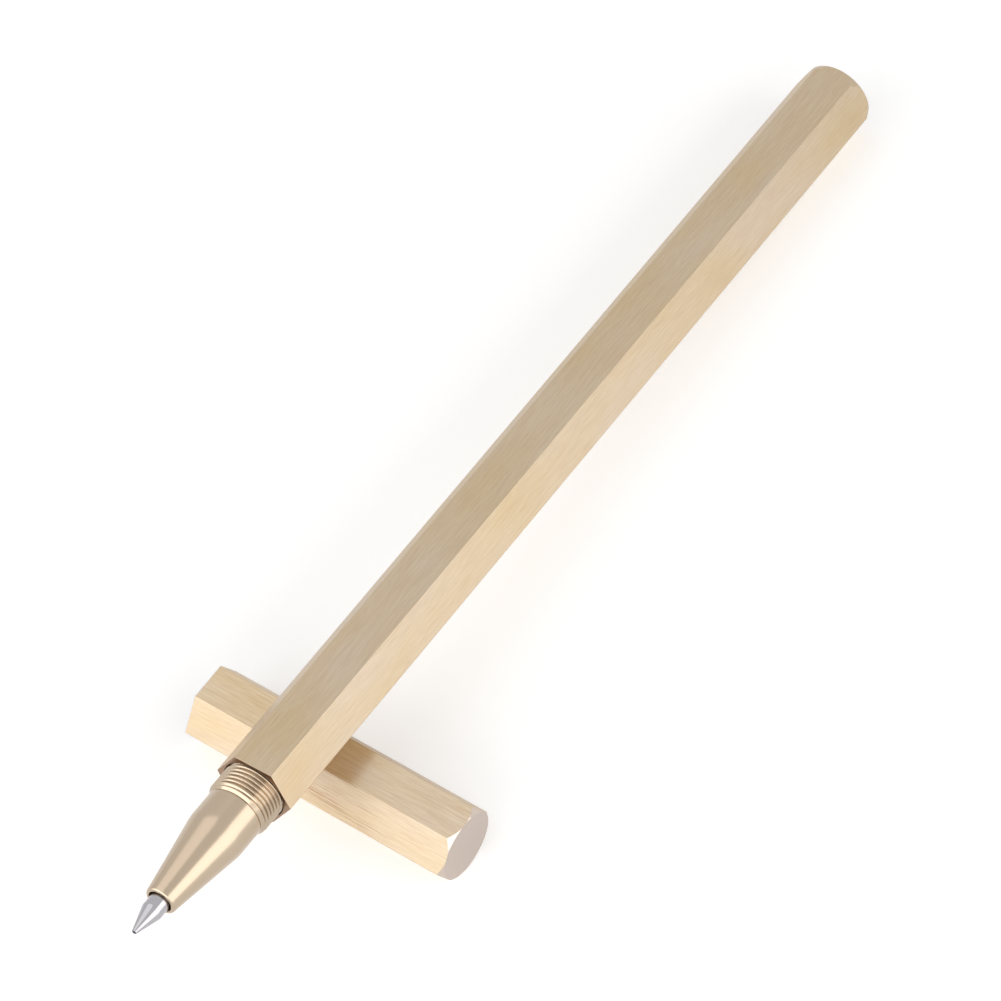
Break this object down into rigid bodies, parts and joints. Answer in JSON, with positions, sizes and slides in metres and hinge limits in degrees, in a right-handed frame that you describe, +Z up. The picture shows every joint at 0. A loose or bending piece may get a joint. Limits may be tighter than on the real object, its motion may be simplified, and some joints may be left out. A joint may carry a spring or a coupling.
{
  "type": "ballpoint pen",
  "caption": "Capped hexagonal brass ballpoint pen lying open across its own cap, with screw-in nose, refill and springs.",
  "frame": {"origin": "on the surface the pen and its cap lie on, under the middle of the whole object's box", "axes": "+Z up; +X along the cap from its mouth to its closed end; +Y from the pen's nose to the barrel's closed end, which is the object's longest extent"},
  "size_m": [0.032, 0.1324, 0.0166],
  "materials": {
    "brushed_brass": "drawn bar with fine lengthwise brushing, unlacquered",
    "turned_brass": "smooth turned brass with a soft polish",
    "nickel_silver": "bright turned nickel silver",
    "carbide": "polished tungsten carbide",
    "spring_steel": "drawn spring wire",
    "clear_tube": "translucent extruded polypropylene",
    "white_plastic": "moulded natural plastic",
    "black_ink": "gel ink",
    "grease": "clear sealing grease"
  },
  "bodies": {
    "cap": {"cap": "brushed_brass"},
    "pen": {"barrel": "brushed_brass"},
    "refill": {"refill_tube": "clear_tube", "ink_column": "black_ink", "ink_follower": "grease", "tip_holder": "white_plastic", "refill_tip": "nickel_silver", "ball_spring": "spring_steel", "tail_plug": "white_plastic", "refill_spring": "spring_steel"},
    "nose": {"nose_section": "turned_brass"},
    "ball": {"writing_ball": "carbide"}
  },
  "joints": [
    {"name": "pen_lift", "type": "slide", "parent": "cap", "child": "pen", "axis": [0, 0, 1], "range_m": [0, 0.06]},
    {"name": "refill_advance", "type": "slide", "parent": "pen", "child": "refill", "axis": [0.0261, -0.9965, 0.0793], "range_m": [0, 0.005]},
    {"name": "nose_unscrew", "type": "hinge", "parent": "refill", "child": "nose", "pos_m": [-0.00217, -0.04526, 0.0127], "axis": [0.0261, -0.9965, 0.0793], "range_deg": [0, 3600]},
    {"name": "ball_roll", "type": "hinge", "parent": "refill", "child": "ball", "pos_m": [-0.00163, -0.06592, 0.01434], "axis": [0.9997, 0.0262, 0], "continuous": true}
  ],
  "couplings": [
    {"joint": "nose_unscrew", "follows": "refill_advance", "rad_per_m": 12566}
  ]
}
